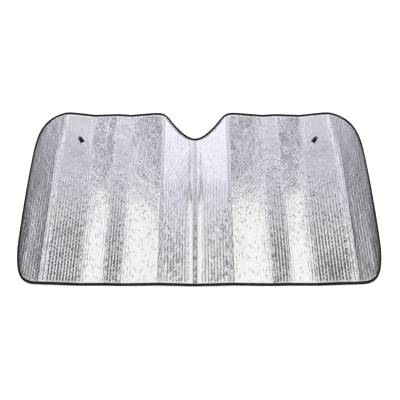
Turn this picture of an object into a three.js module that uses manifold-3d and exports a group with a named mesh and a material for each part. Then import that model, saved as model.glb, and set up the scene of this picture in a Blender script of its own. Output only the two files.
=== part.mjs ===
// Folding windscreen sunshade, lying opened out on its back.
// Millimetres. +X to the right, +Y towards the top edge with the mirror notch, +Z up.
// Origin: middle of the outline, on the plane that the shade lies on.
import * as THREE from 'three';
import { mergeVertices } from 'three/addons/utils/BufferGeometryUtils.js';
import Module from 'manifold-3d';

const wasm = await Module();
wasm.setup();

// ---------------------------------------------------------------- driving dimensions
const HALF_LEFT = 632.0;        // seam to the left edge, over the tape
const HALF_RIGHT = 661.5;       // seam to the right edge, over the tape
const SEAM_X = -(HALF_RIGHT - HALF_LEFT) / 2;   // middle fold
const HALF_Y = 342.75;          // middle to the top or bottom edge, over the tape

const SHEET_T = 3.0;            // foil, bubble film and foil, welded
const TAPE_T = 0.6;             // folded edge tape, one layer
const TAPE_W_SIDE = 6.5;        // width of tape seen on each face: at the short sides
const TAPE_W_TOP = 10.5;        // along the top edge and the notch
const TAPE_W_BOTTOM = 10.0;     // along the bottom edge
const GAP = 0.3;                // clearance between touching pieces
const TAPE_OUT = SHEET_T / 2 + GAP + TAPE_T;    // middle of the sheet to the outside of the tape
const TAPE_IN = SHEET_T / 2 + GAP;

const FOLD_STRETCH = 1.05;      // fold spacing of the right half against the left half
const CREASE_W = 4.5;           // pressed line along each fold
const SEAM_W = 11.0;            // flat band along the middle fold
const FOLD_1 = 527.2;           // folds, measured from the middle fold (left half)
const LEAN_1 = 14.0;            // how far fold 1 leans inwards at its top end
const LEAN_FROM = 140.0;        // height at which the lean starts, and where it ends
const LEAN_TO = 300.0;
const FOLD_2 = 400.8;
const FOLD_4 = 257.2;
const FOLD_5 = 122.0;
const Z_LOW = TAPE_OUT;         // middle of the sheet where it touches down
const Z_FOLD_1 = 22.4;          // middle of the sheet on the outer ridge
const Z_FOLD_5 = 21.4;          // middle of the sheet on the inner ridge
const ARCH_LOW_END = 7.0;      // height of the bow at the bottom edge
const ARCH_HIGH_END = 4.5;      // height of the bow at the top edge

const CUP_S = 445.0;            // suction cup, from the middle fold (left half)
const CUP_Y = 221.3;            // suction cup, from the middle of the sheet
const CUP_BUMP = 1.0;           // how far each cup lifts the sheet
const CUP_BUMP_R = 45.0;
const CUP_R = 17.5;
const CUP_DEPTH = 7.5;          // middle of the sheet to the rim
const CUP_CLEAR = 0.5;          // clearance over and under the sheet at the neck
const NECK_R = 2.5;
const SLIT_L = 13.0;
const LUG_DIR = [0.57, 0.82];   // long direction of the lug, outwards and up

// ---------------------------------------------------------------- outline
// Half outline of the taped edge (left half): distance from the middle fold, height from the middle.
const HALF_OUTLINE = [
  [0, 233.6], [10, 234.3], [20, 237.2], [30, 242.2], [42, 250.7], [54, 260.8], [66, 272.3],
  [78, 285.4], [90, 300.3], [101, 314.6], [112, 326.2], [124, 334.3], [137, 339.4],
  [152, 341.9], [170, 342.75], [325, 342.75], [480, 342.75], [497, 342.0], [513, 340.3],
  [529, 337.3], [544, 332.8], [558, 326.8], [572, 318.6], [584, 308.9], [595, 296.6],
  [605, 281], [612.5, 265], [619, 243.5], [623.8, 217], [626.8, 189], [628.6, 160],
  [629.8, 125], [631.2, 75], [632, 15], [632, -45], [631.5, -105], [630.4, -165],
  [628.4, -210], [625, -237], [621, -258], [615.5, -279], [607, -299], [595, -316],
  [581, -327], [564, -334], [543, -337.5], [520, -338.8], [460, -339.5], [380, -340.6],
  [280, -341.3], [150, -342.3], [0, -342.75],
];

function smoothstep(a, b, v) {
  const t = Math.min(1, Math.max(0, (v - a) / (b - a)));
  return t * t * (3 - 2 * t);
}

function simplify(points, tol) {
  // Douglas-Peucker on an open run of points
  if (points.length < 3) return points;
  const a = points[0], b = points[points.length - 1];
  const dx = b[0] - a[0], dy = b[1] - a[1], len = Math.hypot(dx, dy) || 1;
  let far = 0, at = 0;
  for (let i = 1; i < points.length - 1; i++) {
    const d = Math.abs((points[i][0] - a[0]) * dy - (points[i][1] - a[1]) * dx) / len;
    if (d > far) { far = d; at = i; }
  }
  if (far <= tol) return [a, b];
  return [...simplify(points.slice(0, at + 1), tol).slice(0, -1), ...simplify(points.slice(at), tol)];
}

function halfOutline(side) {
  const curve = new THREE.CatmullRomCurve3(
    HALF_OUTLINE.map(([s, y]) => {
      const wide = side > 0 ? 1 + (HALF_RIGHT / HALF_LEFT - 1) * smoothstep(150, 300, s) : 1;
      return new THREE.Vector3(SEAM_X + side * s * wide, y, 0);
    }), false, 'centripetal');
  const farX = SEAM_X + side * (side > 0 ? HALF_RIGHT : HALF_LEFT);
  return simplify(curve.getPoints(HALF_OUTLINE.length * 6).map((p) => [
    side > 0 ? Math.min(p.x, farX) : Math.max(p.x, farX),
    Math.min(HALF_Y, Math.max(-HALF_Y, p.y)),
  ]), 0.2);
}

// counter-clockwise: down the left side, along the bottom, up the right side, back over the notch
const leftHalf = halfOutline(-1);
const rightHalf = halfOutline(1).reverse();
const outline = [...leftHalf.slice(0, -1), ...rightHalf.slice(0, -1)];

function inset(points, d) {
  const n = points.length;
  return points.map((p, i) => {
    const a = points[(i + n - 1) % n], b = points[(i + 1) % n];
    const e1 = [p[0] - a[0], p[1] - a[1]], e2 = [b[0] - p[0], b[1] - p[1]];
    const l1 = Math.hypot(...e1), l2 = Math.hypot(...e2);
    const n1 = [-e1[1] / l1, e1[0] / l1], n2 = [-e2[1] / l2, e2[0] / l2];
    const m = [n1[0] + n2[0], n1[1] + n2[1]], l = Math.hypot(...m);
    const width = typeof d === 'function' ? d(m[1] / l) : d;
    const k = width / Math.max(0.5, (m[0] * n1[0] + m[1] * n1[1]) / l) / l;
    return [p[0] + m[0] * k, p[1] + m[1] * k];
  });
}

// width of the tape where the edge's inward direction has the Y part `up`
function tapeWidth(up) {
  return TAPE_W_SIDE + ((up > 0 ? TAPE_W_BOTTOM : TAPE_W_TOP) - TAPE_W_SIDE) * up * up;
}

// ---------------------------------------------------------------- folded height
const ARCH = [[0, 0], [0.2, 0.584], [0.28, 0.817], [0.34, 0.974], [0.38, 1], [0.42, 0.951], [0.6, 0.657], [0.8, 0.328], [1, 0]];
const half = CREASE_W / 2;
const PROFILE = [
  [0, Z_LOW], [SEAM_W / 2, Z_LOW], [62, 12.7], [FOLD_5 - half, Z_FOLD_5], [FOLD_5 + half, Z_FOLD_5],
  [190, 12.6], [FOLD_4 - half, Z_LOW], [FOLD_4 + half, Z_LOW], [FOLD_2 - half, Z_LOW],
  [FOLD_2 + half, Z_LOW], [464, 13.2], [FOLD_1 - half, Z_FOLD_1], [FOLD_1 + half, Z_FOLD_1],
  [580, 13.2], [HALF_LEFT, Z_LOW], [720, Z_LOW],
];

function lerpTable(table, v) {
  for (let i = 1; i < table.length; i++) {
    if (v <= table[i][0]) {
      const [a, b] = [table[i - 1], table[i]];
      return a[1] + (b[1] - a[1]) * (v - a[0]) / (b[0] - a[0]);
    }
  }
  return table[table.length - 1][1];
}

function foldDistance(x) {
  return x < SEAM_X ? SEAM_X - x : (x - SEAM_X) / FOLD_STRETCH;
}

// plan position of the point at distance s from the middle fold and height y, with fold 1 leaning
function foldedX(side, s, y) {
  const at = FOLD_1 - LEAN_1 * smoothstep(LEAN_FROM, LEAN_TO, y);
  let out = s;
  if (s > FOLD_2 && s < FOLD_1) out = FOLD_2 + (s - FOLD_2) * (at - FOLD_2) / (FOLD_1 - FOLD_2);
  if (s >= FOLD_1 && s < HALF_LEFT) out = at + (s - FOLD_1) * (HALF_LEFT - at) / (HALF_LEFT - FOLD_1);
  return SEAM_X + side * out * (side > 0 ? FOLD_STRETCH : 1);
}

// the same the other way: distance from the middle fold of a plan position
function straightened(x, y) {
  const s = foldDistance(x), at = FOLD_1 - LEAN_1 * smoothstep(LEAN_FROM, LEAN_TO, y);
  if (s > FOLD_2 && s < at) return FOLD_2 + (s - FOLD_2) * (FOLD_1 - FOLD_2) / (at - FOLD_2);
  if (s >= at && s < HALF_LEFT) return FOLD_1 + (s - at) * (HALF_LEFT - FOLD_1) / (HALF_LEFT - at);
  return s;
}

const cups = [-1, 1].map((side) => ({
  side,
  x: SEAM_X + side * CUP_S * (side > 0 ? FOLD_STRETCH : 1),
  y: CUP_Y,
}));

function sheetHeight(x, y) {
  const s = straightened(x, y);
  let z = lerpTable(PROFILE, s);
  const a = FOLD_4 + half, b = FOLD_2 - half;
  if (s > a && s < b) {
    const amp = ARCH_LOW_END + (ARCH_HIGH_END - ARCH_LOW_END) * (y + HALF_Y) / (2 * HALF_Y);
    z += amp * lerpTable(ARCH, (s - a) / (b - a));
  }
  for (const cup of cups) {
    const r = Math.hypot(x - cup.x, y - cup.y) / CUP_BUMP_R;
    if (r < 1.8) z += CUP_BUMP * Math.exp(-r * r / 2) * (1 - smoothstep(1.0, 1.8, r));
  }
  return z;
}

// grid lines: folds, bow, and a finer field round each cup
const foldLines = [...PROFILE.map((p) => p[0]),
  ...ARCH.map(([t]) => FOLD_4 + half + t * (FOLD_2 - FOLD_4 - CREASE_W))].filter((s) => s > 0 && s < 700);
const near = [-80, -54, -34, -17, 0, 17, 34, 54, 80];
let xs = [SEAM_X, SEAM_X - 700, SEAM_X + 700 * FOLD_STRETCH];
for (const s of foldLines) xs.push(SEAM_X - s, SEAM_X + s * FOLD_STRETCH);
xs = xs.sort((a, b) => a - b).filter((v, i, all) => i === 0 || v - all[i - 1] > 0.01);
for (const cup of cups) {
  for (const d of near) if (xs.every((v) => Math.abs(v - cup.x - d) > 6)) xs.push(cup.x + d);
}
xs.sort((a, b) => a - b);
const ys = [-400, 0, ...near.map((d) => CUP_Y + d), 400];
for (const v of [LEAN_FROM, 160, 180, 260, 285, LEAN_TO, 320]) if (ys.every((w) => Math.abs(w - v) > 6)) ys.push(v);
ys.sort((a, b) => a - b);

function slab(up, down) {
  // closed block between the folded middle surface raised by `up` and lowered by `down`
  const nx = xs.length, ny = ys.length, pos = [], idx = [];
  const at = (i, j, layer) => layer * nx * ny + j * nx + i;
  for (const off of [up, -down]) {
    for (let j = 0; j < ny; j++) {
      for (let i = 0; i < nx; i++) {
        const x = foldedX(xs[i] < SEAM_X ? -1 : 1, foldDistance(xs[i]), ys[j]);
        pos.push(x, ys[j], sheetHeight(x, ys[j]) + off);
      }
    }
  }
  for (let j = 0; j < ny - 1; j++) {
    for (let i = 0; i < nx - 1; i++) {
      idx.push(at(i, j, 0), at(i + 1, j, 0), at(i + 1, j + 1, 0), at(i, j, 0), at(i + 1, j + 1, 0), at(i, j + 1, 0));
      idx.push(at(i, j, 1), at(i + 1, j + 1, 1), at(i + 1, j, 1), at(i, j, 1), at(i, j + 1, 1), at(i + 1, j + 1, 1));
    }
  }
  const wall = (a, b) => idx.push(a, a + nx * ny, b + nx * ny, a, b + nx * ny, b);
  for (let i = 0; i < nx - 1; i++) { wall(at(i, 0, 0), at(i + 1, 0, 0)); wall(at(i + 1, ny - 1, 0), at(i, ny - 1, 0)); }
  for (let j = 0; j < ny - 1; j++) { wall(at(0, j + 1, 0), at(0, j, 0)); wall(at(nx - 1, j, 0), at(nx - 1, j + 1, 0)); }
  const g = new THREE.BufferGeometry();
  g.setAttribute('position', new THREE.Float32BufferAttribute(pos, 3));
  g.setIndex(idx);
  return solid(g);
}

// ---------------------------------------------------------------- solids
function solid(geometry) {
  const g = geometry.clone();
  for (const name of Object.keys(g.attributes)) if (name !== 'position') g.deleteAttribute(name);
  const m = mergeVertices(g, 1e-4);
  return new wasm.Manifold(new wasm.Mesh({
    numProp: 3,
    vertProperties: new Float32Array(m.attributes.position.array),
    triVerts: new Uint32Array(m.index.array),
  }));
}

function geometryOf(manifold) {
  const mesh = manifold.getMesh();
  const g = new THREE.BufferGeometry();
  g.setAttribute('position', new THREE.BufferAttribute(new Float32Array(mesh.vertProperties), 3));
  g.setIndex(new THREE.BufferAttribute(new Uint32Array(mesh.triVerts), 1));
  g.computeVertexNormals();
  return g;
}

function prism(points, z0, z1) {
  const shape = new THREE.Shape(points.map(([x, y]) => new THREE.Vector2(x, y)));
  const g = new THREE.ExtrudeGeometry(shape, { depth: z1 - z0, bevelEnabled: false });
  g.translate(0, 0, z0);
  return g;
}

// ---------------------------------------------------------------- suction cups
// Local frame of a cup: +Z is the sheet's normal, +X runs along the lug, z = 0 is the middle of the sheet.
function cupFrame(cup) {
  const e = 4;
  const nx = -(sheetHeight(cup.x + e, cup.y) - sheetHeight(cup.x - e, cup.y)) / (2 * e);
  const ny = -(sheetHeight(cup.x, cup.y + e) - sheetHeight(cup.x, cup.y - e)) / (2 * e);
  const n = new THREE.Vector3(nx, ny, 1).normalize();
  const along = new THREE.Vector3(cup.side * LUG_DIR[0], LUG_DIR[1], 0);
  along.addScaledVector(n, -along.dot(n)).normalize();
  const across = new THREE.Vector3().crossVectors(n, along);
  return new THREE.Matrix4().makeBasis(along, across, n)
    .setPosition(cup.x, cup.y, sheetHeight(cup.x, cup.y));
}

function stadium(length, width, steps) {
  const r = width / 2, c = length / 2 - r, pts = [];
  for (let i = 0; i <= steps; i++) { const a = -Math.PI / 2 + Math.PI * i / steps; pts.push([c + r * Math.cos(a), r * Math.sin(a)]); }
  for (let i = 0; i <= steps; i++) { const a = Math.PI / 2 + Math.PI * i / steps; pts.push([-c + r * Math.cos(a), r * Math.sin(a)]); }
  return pts;
}

function cupGeometry() {
  const under = -SHEET_T / 2 - CUP_CLEAR, over = SHEET_T / 2 + CUP_CLEAR;
  const rim = -CUP_DEPTH;
  // bell with a hollow under it and a flat annular rim
  const bell = new THREE.LatheGeometry([
    [0, rim + 3.6], [5, rim + 3.4], [9.5, rim + 2.7], [13, rim + 1.4], [CUP_R - 1.8, rim],
    [CUP_R, rim], [CUP_R, rim + 0.5], [15.2, rim + 2.3], [11.5, rim + 4.1], [8, rim + 5.0],
    [6.8, under], [0, under],
  ].map(([r, z]) => new THREE.Vector2(r, z)), 28);
  bell.rotateX(Math.PI / 2);
  const neck = new THREE.CylinderGeometry(NECK_R, NECK_R, over - under + 2, 16);
  neck.rotateX(Math.PI / 2);
  neck.translate(0, 0, (over + under) / 2);
  // lug: round nose, waist, square flared tail
  const lug = new THREE.Shape();
  lug.moveTo(-12.4, -7.3);
  lug.lineTo(-10.6, -7.7);
  lug.quadraticCurveTo(-6.2, -6.0, -2, -6.1);
  lug.lineTo(7, -6.2);
  lug.absarc(7, 0, 6.2, -Math.PI / 2, Math.PI / 2, false);
  lug.lineTo(-2, 6.1);
  lug.quadraticCurveTo(-6.2, 6.0, -10.6, 7.7);
  lug.lineTo(-12.4, 7.3);
  lug.quadraticCurveTo(-11.0, 0, -12.4, -7.3);
  const head = new THREE.ExtrudeGeometry(lug, {
    depth: 2.6, bevelThickness: 1.2, bevelSize: 1.1, bevelSegments: 2, curveSegments: 5,
  });
  head.translate(0, 0, over + 1.2);
  return solid(bell).add(solid(neck)).add(solid(head));
}

// ---------------------------------------------------------------- assembly
const foil = new THREE.MeshStandardMaterial({ color: 0xd6d7dd, roughness: 0.28, metalness: 1.0 });
const tape = new THREE.MeshStandardMaterial({ color: 0x1b1b1e, roughness: 0.85, metalness: 0.0 });
const rubber = new THREE.MeshStandardMaterial({ color: 0x101013, roughness: 0.45, metalness: 0.0 });

const sheetOutline = inset(outline, TAPE_OUT - SHEET_T / 2);
let sheet = slab(SHEET_T / 2, SHEET_T / 2).intersect(solid(prism(sheetOutline, -20, 80)));
for (const cup of cups) {
  const slit = prism(stadium(SLIT_L, 2 * (NECK_R + GAP), 6), -8, 8);
  slit.applyMatrix4(cupFrame(cup));
  sheet = sheet.subtract(solid(slit));
}

const ring = solid(prism(outline, -20, 80)).subtract(solid(prism(inset(outline, tapeWidth), -30, 90)));
const pocket = slab(TAPE_IN, TAPE_IN).intersect(solid(prism(inset(outline, TAPE_T), -20, 80)));
const binding = ring.intersect(slab(TAPE_OUT, TAPE_OUT)).subtract(pocket);

const sunshade = new THREE.Group();
sunshade.name = 'windscreen_sunshade';

const panel = new THREE.Mesh(geometryOf(sheet), foil);
panel.name = 'foil_bubble_panel';
sunshade.add(panel);

const edge = new THREE.Mesh(geometryOf(binding), tape);
edge.name = 'edge_binding';
sunshade.add(edge);

const cupSolid = geometryOf(cupGeometry());
for (const cup of cups) {
  const carrier = new THREE.Group();
  carrier.applyMatrix4(cupFrame(cup));
  const mesh = new THREE.Mesh(cupSolid.clone(), rubber);
  mesh.name = cup.side < 0 ? 'suction_cup_left' : 'suction_cup_right';
  carrier.add(mesh);
  sunshade.add(carrier);
}

export default sunshade;
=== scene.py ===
import math
import bpy
import numpy as np
from mathutils import Matrix, Vector
from mathutils.geometry import delaunay_2d_cdt


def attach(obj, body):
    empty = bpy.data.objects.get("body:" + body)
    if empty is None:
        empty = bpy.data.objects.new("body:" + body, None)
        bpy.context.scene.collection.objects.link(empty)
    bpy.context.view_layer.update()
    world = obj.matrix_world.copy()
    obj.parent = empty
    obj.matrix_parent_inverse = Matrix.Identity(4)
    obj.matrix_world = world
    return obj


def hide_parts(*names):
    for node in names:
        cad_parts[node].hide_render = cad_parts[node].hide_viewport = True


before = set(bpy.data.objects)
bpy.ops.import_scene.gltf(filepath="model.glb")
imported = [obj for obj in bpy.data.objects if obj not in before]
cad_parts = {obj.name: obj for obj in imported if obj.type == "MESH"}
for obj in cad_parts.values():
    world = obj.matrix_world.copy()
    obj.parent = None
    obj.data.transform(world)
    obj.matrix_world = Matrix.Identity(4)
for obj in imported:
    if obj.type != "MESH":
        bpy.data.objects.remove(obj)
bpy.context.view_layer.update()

# ------------------------------------------------------------------ sizes, millimetres
HALF_LEFT, HALF_RIGHT, HALF_Y = 632.0, 661.5, 342.75
SEAM_X = -(HALF_RIGHT - HALF_LEFT) / 2
STRETCH = 1.05
SHEET_T, TAPE_T, GAP = 3.0, 0.6, 0.3
TAPE_W_SIDE, TAPE_W_TOP, TAPE_W_BOTTOM = 6.5, 10.5, 10.0
TAPE_OUT = SHEET_T / 2 + GAP + TAPE_T
CREASE_W, SEAM_W = 4.5, 11.0
FOLD_1, FOLD_2, FOLD_4, FOLD_5 = 527.2, 400.8, 257.2, 122.0
Z_LOW, Z_FOLD_1, Z_FOLD_5 = TAPE_OUT, 22.4, 21.4
BOW_INNER, BOW, BOW_OUTER = -0.45, -0.1, 0.3
ARCH_LOW_END, ARCH_HIGH_END, ARCH_TOP = 7.0, 5.5, 0.36
LEAN_1, LEAN_FROM, LEAN_TO = 14.0, 140.0, 300.0   # the outer fold leans inwards at its top end
CUP_S, CUP_Y, CUP_BUMP, CUP_BUMP_R = 445.0, 221.3, 1.0, 45.0
CUP_R, CUP_DEPTH, CUP_CLEAR = 17.5, 7.5, 0.5
LUG_DIR = (0.57, 0.82)
PITCH = 10.0                      # from one column of bubbles to the next
ROUND_1 = 1.15
BOW_CREST = FOLD_4 + CREASE_W / 2 + ARCH_TOP * (FOLD_2 - FOLD_4 - CREASE_W)
SPACING = 14.0                    # from one bubble to the next in a column

HALF_OUTLINE = [
    (0, 233.6), (10, 234.3), (20, 237.2), (30, 242.2), (42, 250.7), (54, 260.8), (66, 272.3),
    (78, 285.4), (90, 300.3), (101, 314.6), (112, 326.2), (124, 334.3), (137, 339.4),
    (152, 341.9), (170, 342.75), (325, 342.75), (480, 342.75), (497, 342.0), (513, 340.3),
    (529, 337.3), (544, 332.8), (558, 326.8), (572, 318.6), (584, 308.9), (595, 296.6),
    (605, 281), (612.5, 265), (619, 243.5), (623.8, 217), (626.8, 189), (628.6, 160),
    (629.8, 125), (631.2, 75), (632, 15), (632, -45), (631.5, -105), (630.4, -165),
    (628.4, -210), (625, -237), (621, -258), (615.5, -279), (607, -299), (595, -316),
    (581, -327), (564, -334), (543, -337.5), (520, -338.8), (460, -339.5), (380, -340.6),
    (280, -341.3), (150, -342.3), (0, -342.75),
]


# ------------------------------------------------------------------ helpers
def smooth(a, b, v):
    t = np.clip((v - a) / (b - a), 0, 1)
    return t * t * (3 - 2 * t)


def field(x, y, cell, seed, cell_y=None):
    """Seeded smooth noise from -1 to 1 over the plan."""
    cell_y = cell_y or cell
    grid = np.random.RandomState(seed).uniform(-1, 1, (257, 257))
    u, v = np.asarray(x) / cell + 128.37, np.asarray(y) / cell_y + 128.61
    i, j = np.floor(u).astype(int), np.floor(v).astype(int)
    fu, fv = u - i, v - j
    fu, fv = fu * fu * fu * (fu * (fu * 6 - 15) + 10), fv * fv * fv * (fv * (fv * 6 - 15) + 10)
    i, j = i % 256, j % 256
    a = grid[i, j] * (1 - fu) + grid[i + 1, j] * fu
    b = grid[i, j + 1] * (1 - fu) + grid[i + 1, j + 1] * fu
    return a * (1 - fv) + b * fv


def centripetal(points, step):
    p = np.array(points, float)
    p = np.vstack([2 * p[0] - p[1], p, 2 * p[-1] - p[-2]])
    out = []
    for k in range(1, len(p) - 2):
        p0, p1, p2, p3 = p[k - 1:k + 3]
        d0, d1, d2 = (math.sqrt(np.linalg.norm(b - a)) for a, b in ((p0, p1), (p1, p2), (p2, p3)))
        t1 = ((p1 - p0) / d0 - (p2 - p0) / (d0 + d1) + (p2 - p1) / d1) * d1
        t2 = ((p2 - p1) / d1 - (p3 - p1) / (d1 + d2) + (p3 - p2) / d2) * d1
        n = max(2, int(np.linalg.norm(p2 - p1) / step) + 1)
        t = np.arange(n)[:, None] / n
        out.append(p1 * (2 * t**3 - 3 * t**2 + 1) + t1 * (t**3 - 2 * t**2 + t) + p2 * (3 * t**2 - 2 * t**3) + t2 * (t**3 - t**2))
    out.append(p[-2][None])
    return np.vstack(out)


def half_outline(side):
    pts = []
    for s, y in HALF_OUTLINE:
        wide = 1 + (HALF_RIGHT / HALF_LEFT - 1) * float(smooth(150, 300, s)) if side > 0 else 1
        pts.append((SEAM_X + side * s * wide, y))
    c = centripetal(pts, 1.0)
    far = SEAM_X + side * (HALF_RIGHT if side > 0 else HALF_LEFT)
    c[:, 0] = np.minimum(c[:, 0], far) if side > 0 else np.maximum(c[:, 0], far)
    c[:, 1] = np.clip(c[:, 1], -HALF_Y, HALF_Y)
    return c


def even_loop(loop, step):
    """The closed loop again, with stations an even distance apart."""
    closed = np.vstack([loop, loop[:1]])
    seg = np.linalg.norm(np.diff(closed, axis=0), axis=1)
    at = np.concatenate([[0], np.cumsum(seg)])
    n = int(round(at[-1] / step))
    want = np.arange(n) * at[-1] / n
    return np.stack([np.interp(want, at, closed[:, k]) for k in (0, 1)], 1), at[-1]


left, right = half_outline(-1), half_outline(1)[::-1]
OUTLINE, PERIMETER = even_loop(np.vstack([left[:-1], right[:-1]]), 3.0)
tangent = np.roll(OUTLINE, -2, 0) - np.roll(OUTLINE, 2, 0)
tangent /= np.linalg.norm(tangent, axis=1)[:, None]
INWARD = np.stack([-tangent[:, 1], tangent[:, 0]], 1)


def tape_width(up):
    """Width of the tape where the edge's inward direction has the Y part `up`."""
    return TAPE_W_SIDE + (np.where(up > 0, TAPE_W_BOTTOM, TAPE_W_TOP) - TAPE_W_SIDE) * up * up


WIDTH = tape_width(INWARD[:, 1])


def edge_depth(x, y):
    """Distance inside the outline (negative outside) and the nearest station."""
    pts = np.stack([np.ravel(x), np.ravel(y)], 1)
    best, who = np.empty(len(pts)), np.empty(len(pts), int)
    for k in range(0, len(pts), 4000):
        d = ((pts[k:k + 4000, None, :] - OUTLINE[None]) ** 2).sum(2)
        who[k:k + 4000] = d.argmin(1)
        best[k:k + 4000] = d.min(1)
    rel = pts - OUTLINE[who]
    depth = (rel * INWARD[who]).sum(1)
    flat = np.abs(rel @ np.zeros(2)) + np.sqrt(best)
    depth = np.where(flat > 12, np.sign(depth) * flat, depth)
    return depth.reshape(np.shape(x)), who.reshape(np.shape(x))


def fold_distance(x):
    return np.where(x < SEAM_X, SEAM_X - x, (x - SEAM_X) / STRETCH)


def fold_place(x, y):
    """Distance from the seam, measured so that the outer fold stays at FOLD_1 where it leans."""
    s = fold_distance(x)
    at = FOLD_1 - LEAN_1 * smooth(LEAN_FROM, LEAN_TO, y)
    inner = FOLD_2 + (s - FOLD_2) * (FOLD_1 - FOLD_2) / (at - FOLD_2)
    outer = FOLD_1 + (s - at) * (HALF_LEFT - FOLD_1) / (HALF_LEFT - at)
    s = np.where(s <= FOLD_2, s, np.where(s < at, inner, np.where(s < HALF_LEFT, outer, s)))
    # the lower part of each fold wavers a little from bubble to bubble
    y = np.asarray(y, float)
    for k, (fold, much) in enumerate(((FOLD_5, 4.5), (FOLD_4, 3.5), (FOLD_2, 4.0), (FOLD_1, 1.8))):
        line = np.where(np.asarray(x) < SEAM_X, 3.5, 7.5) + 11 * k
        s = s + much * smooth(30, -60, y) * np.exp(-((s - fold) / 12.0) ** 2) * field(line, y, 1.0, 61, 9.0)
    return s


PANELS = [
    (-1e-6, SEAM_W / 2, Z_LOW, Z_LOW, 0), (SEAM_W / 2, FOLD_5 - CREASE_W / 2, Z_LOW, Z_FOLD_5, BOW_INNER),
    (FOLD_5 - CREASE_W / 2, FOLD_5 + CREASE_W / 2, Z_FOLD_5, Z_FOLD_5, 0),
    (FOLD_5 + CREASE_W / 2, FOLD_4 - CREASE_W / 2, Z_FOLD_5, Z_LOW, BOW),
    (FOLD_4 - CREASE_W / 2, FOLD_2 + CREASE_W / 2, Z_LOW, Z_LOW, 0),
    (FOLD_2 + CREASE_W / 2, FOLD_1 - CREASE_W / 2, Z_LOW, Z_FOLD_1, BOW_OUTER),
    (FOLD_1 - CREASE_W / 2, FOLD_1 + CREASE_W / 2, Z_FOLD_1, Z_FOLD_1, 0),
    (FOLD_1 + CREASE_W / 2, HALF_LEFT, Z_FOLD_1, Z_LOW, BOW_OUTER), (HALF_LEFT, 900, Z_LOW, Z_LOW, 0),
]
CUPS = [(side, SEAM_X + side * CUP_S * (STRETCH if side > 0 else 1), CUP_Y) for side in (-1, 1)]


def sheet_height(x, y):
    """Middle of the folded sheet over the plane it lies on."""
    x, y = np.asarray(x, float), np.asarray(y, float)
    s = fold_place(x, y)
    z = np.full(np.broadcast(x, y).shape, Z_LOW)
    for a, b, za, zb, bow in PANELS:
        t = (s - a) / (b - a)
        z = np.where((s > a) & (s <= b), za + (zb - za) * t + 4 * bow * t * (1 - t), z)
    # the bowed panel: straight flanks that meet in a soft crest
    t = np.clip((s - FOLD_4 - CREASE_W / 2) / (FOLD_2 - FOLD_4 - CREASE_W), 0, 1)
    rise, fall, soft = t / ARCH_TOP, (1 - t) / (1 - ARCH_TOP), 0.045
    amp = ARCH_LOW_END + (ARCH_HIGH_END - ARCH_LOW_END) * (y + HALF_Y) / (2 * HALF_Y)
    z = z + amp * -soft * np.log(np.exp(-rise / soft) + np.exp(-fall / soft)) / (1 - soft * math.log(2))
    # the outer ridge is rounded on its inner side and drops off sharply on its outer side
    d = np.clip(FOLD_1 - CREASE_W / 2 - s, 0, None)
    reach = 18 + 4 * smooth(60, -160, y)
    z = z + (ROUND_1 + 0.85 * smooth(60, -160, y)) * smooth(0, 1, d / reach) * (1 - smooth(18, 118, d))
    d = np.clip(s - FOLD_1 - CREASE_W / 2, 0, None)
    z = z - (0.45 + 0.6 * smooth(40, -60, y)) * smooth(0, 7, d) * (1 - smooth(7, 70, d))
    d = np.clip(s - SEAM_W / 2, 0, None)
    z = z + 0.70 * smooth(0, 20, d) * (1 - smooth(20, 100, d)) * smooth(25, -45, y)
    z = z + 0.42 * np.exp(-(s / 2.6) ** 2) * (1 + 0.4 * field(0 * y, y, 1.0, 63, 9.0))
    # the lower part of the inner crest is pressed down on its inner side
    z = z - 0.38 * smooth(30, -40, y) * smooth(-10, -2, s - FOLD_5) * (1 - smooth(2.3, 60, s - FOLD_5))
    # the lower outer corner is curled down at its edge
    z = z + 0.7 * np.exp(-((s - 596) / 15.0) ** 2) * smooth(-20, -140, y) * smooth(-330, -250, y)
    for side, cx, cy in CUPS:
        r = np.hypot(x - cx, y - cy) / CUP_BUMP_R
        z = z + CUP_BUMP * np.exp(-r * r / 2) * (1 - smooth(1.0, 1.8, r))
    return z


def pressed(x, y):
    """1 where a fold or the middle seam presses the bubbles flat, 0 away from it."""
    s = fold_place(x, y)
    out = 1 - smooth(SEAM_W / 2 + 13.0, SEAM_W / 2 + 19.0, s)
    for f, w in ((FOLD_5, CREASE_W), (FOLD_4, CREASE_W), (FOLD_2, CREASE_W), (FOLD_1, CREASE_W)):
        out = np.maximum(out, 1 - smooth(w / 2 - 1.0, w / 2 + 0.8, np.abs(s - f)))
    return out


def liveliness(x, y):
    """How strongly the bubbles stand out: slack panels show them more than taut ones."""
    s = fold_distance(x)
    low = 1 - smooth(-60, 130, y)
    low = np.where(s < FOLD_5, 1 - smooth(-120, 70, y), low)
    low = np.where((s > FOLD_4) & (s < FOLD_2 - 60), 1 - smooth(10, 140, y), low)
    stops = [(0, 0.5), (30, 0.6), (55, 1.05), (FOLD_5 - 1, 1.3), (FOLD_5 + 1, 0.8), (136, 0.1), (160, 0.0), (FOLD_4 - 40, 0.0), (FOLD_4 - 14, 0.4),
             (FOLD_4 + 1, 1.0), (300, 1.0), (316, 0.8), (330, 0.2), (345, 0.0), (360, 0.0), (384, 0.5), (396, 1.0),
             (FOLD_2 + 3, 1.0), (450, 1.0),
             (500, 1.2), (FOLD_1 - 2, 0.9), (FOLD_1 + 2, 0.55), (640, 0.55)]
    lower = np.interp(s, [a for a, _ in stops], [b for _, b in stops]) * (1 + 0.25 * field(x, y, 40, 43, 60))
    lower = np.maximum(lower, 0.07)
    middle = 1 - smooth(FOLD_5 - 4, FOLD_5 + 2, s) * (1 - smooth(FOLD_2 - 8, FOLD_2 + 8, s))
    upper = (0.04 + 0.20 * middle * (1 - 0.93 * (s < FOLD_5))) * (1 + 0.5 * field(x, y, 50, 41))
    return lower * low + upper * (1 - low)


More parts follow.
